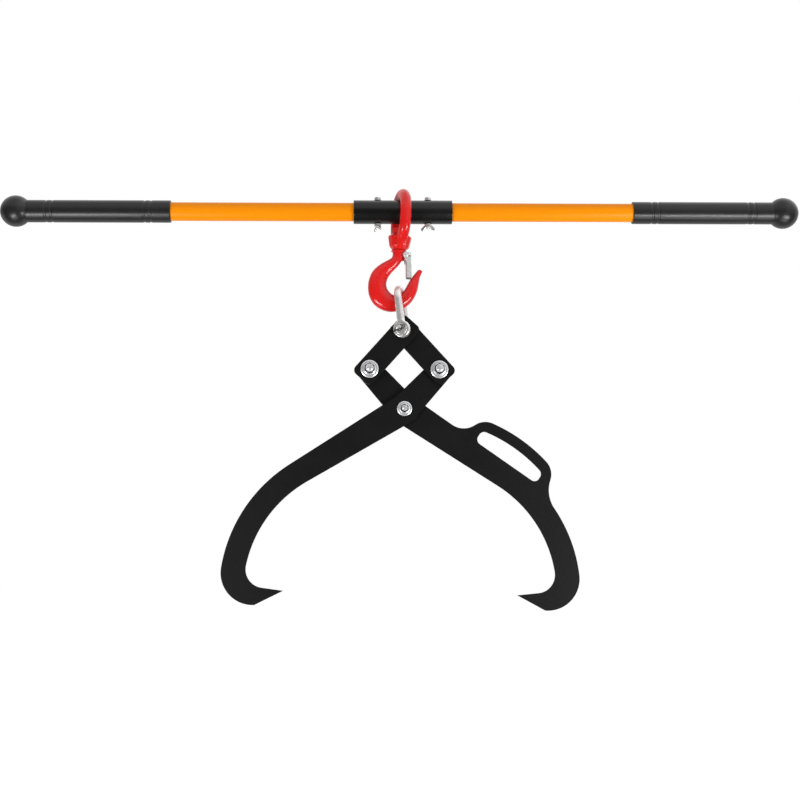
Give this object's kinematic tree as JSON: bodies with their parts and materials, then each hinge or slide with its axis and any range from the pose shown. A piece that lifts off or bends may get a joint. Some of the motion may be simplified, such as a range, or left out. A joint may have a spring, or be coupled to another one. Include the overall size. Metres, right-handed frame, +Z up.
{
  "type": "two-person log carrier",
  "caption": "Carry bar with a rubber grip at each end, a swivel hook with safety latch on its sleeve, a shackle, and flat scissor tongs that close as they lift a log.",
  "frame": {"origin": "on the carry bar's axis, midway along the sleeve", "axes": "+X along the bar to the viewer's right, +Y away from the viewer, +Z up"},
  "size_m": [1.08, 0.0746, 0.5673],
  "materials": {
    "orange_paint": "gloss powder coat",
    "black_steel": "satin",
    "grip_rubber": "matte",
    "red_paint": "gloss",
    "black_plate": "satin powder coat",
    "zinc": "zinc plated",
    "latch_zinc": "zinc plated sheet",
    "spring_steel": "bright wire",
    "nylon": "matte"
  },
  "bodies": {
    "carry_bar": {"centre_sleeve": "black_steel", "left_tube": "orange_paint", "right_tube": "orange_paint", "left_grip": "grip_rubber", "right_grip": "grip_rubber", "left_bar_bolt": "zinc", "right_bar_bolt": "zinc", "left_bar_washer": "zinc", "right_bar_washer": "zinc"},
    "left_wing_nut": {"left_wing_nut": "zinc"},
    "right_wing_nut": {"right_wing_nut": "zinc"},
    "swivel_eye": {"swivel_eye": "red_paint"},
    "hook": {"hook": "red_paint", "swivel_washer": "red_paint", "swivel_nut": "red_paint", "swivel_nut_pin": "red_paint", "latch_pin": "latch_zinc", "latch_spring": "spring_steel"},
    "safety_latch": {"safety_latch": "latch_zinc"},
    "shackle": {"shackle_bow": "zinc"},
    "shackle_pin": {"shackle_pin": "zinc"},
    "left_link": {"left_link": "black_plate", "left_pivot_bolt": "zinc", "left_pivot_nut": "zinc", "left_nut_ring": "nylon", "left_pivot_washers": "zinc", "left_pivot_spacer": "zinc"},
    "right_link": {"right_link": "black_plate", "right_pivot_bolt": "zinc", "right_pivot_nut": "zinc", "right_nut_ring": "nylon", "right_pivot_washers": "zinc"},
    "left_arm": {"left_arm": "black_plate", "centre_pivot_bolt": "zinc", "centre_pivot_nut": "zinc", "centre_nut_ring": "nylon", "centre_pivot_washers": "zinc"},
    "right_arm": {"right_arm": "black_plate"}
  },
  "joints": [
    {"name": "left_wing_nut_turn", "type": "hinge", "parent": "carry_bar", "child": "left_wing_nut", "pos_m": [-0.034, 0, -0.016], "axis": [0, 0, 1], "continuous": true},
    {"name": "right_wing_nut_turn", "type": "hinge", "parent": "carry_bar", "child": "right_wing_nut", "pos_m": [0.034, 0, -0.016], "axis": [0, 0, 1], "continuous": true},
    {"name": "eye_swing", "type": "hinge", "parent": "carry_bar", "child": "swivel_eye", "pos_m": [0, 0, 0], "axis": [1, 0, 0], "continuous": true},
    {"name": "hook_swivel", "type": "hinge", "parent": "swivel_eye", "child": "hook", "pos_m": [-0.00105, 0, 0], "axis": [0.0837, 0, 0.9965], "continuous": true},
    {"name": "latch_hinge", "type": "hinge", "parent": "hook", "child": "safety_latch", "pos_m": [0.00376, 0, -0.05981], "axis": [0, 1, 0], "range_deg": [0, 25], "stiffness_Nm_per_rad": 0.03, "springref_deg": -34.38, "deforming": ["latch_spring"]},
    {"name": "shackle_swing", "type": "hinge", "parent": "hook", "child": "shackle", "pos_m": [-0.0055, 0, -0.10492], "axis": [0, 1, 0], "range_deg": [-40, 30]},
    {"name": "shackle_pin_turn", "type": "hinge", "parent": "shackle", "child": "shackle_pin", "pos_m": [0.00128, 0, -0.16172], "axis": [0.2318, 0.9724, 0.0276], "continuous": true},
    {"name": "left_link_swing", "type": "hinge", "parent": "shackle", "child": "left_link", "pos_m": [0.00128, 0, -0.16172], "axis": [0, -1, 0], "range_deg": [-24, 27]},
    {"name": "right_link_swing", "type": "hinge", "parent": "shackle", "child": "right_link", "pos_m": [0.00128, 0, -0.16172], "axis": [0, -1, 0], "range_deg": [-27, 24]},
    {"name": "right_arm_swing", "type": "hinge", "parent": "left_link", "child": "right_arm", "pos_m": [-0.04556, 0, -0.21374], "axis": [0, -1, 0], "range_deg": [-54, 48]},
    {"name": "left_arm_swing", "type": "hinge", "parent": "right_link", "child": "left_arm", "pos_m": [0.04812, 0, -0.21374], "axis": [0, -1, 0], "range_deg": [-48, 54]}
  ],
  "couplings": [
    {"joint": "right_link_swing", "follows": "left_link_swing", "ratio": -1},
    {"joint": "right_arm_swing", "follows": "left_link_swing", "ratio": -2},
    {"joint": "left_arm_swing", "follows": "left_link_swing", "ratio": 2}
  ]
}
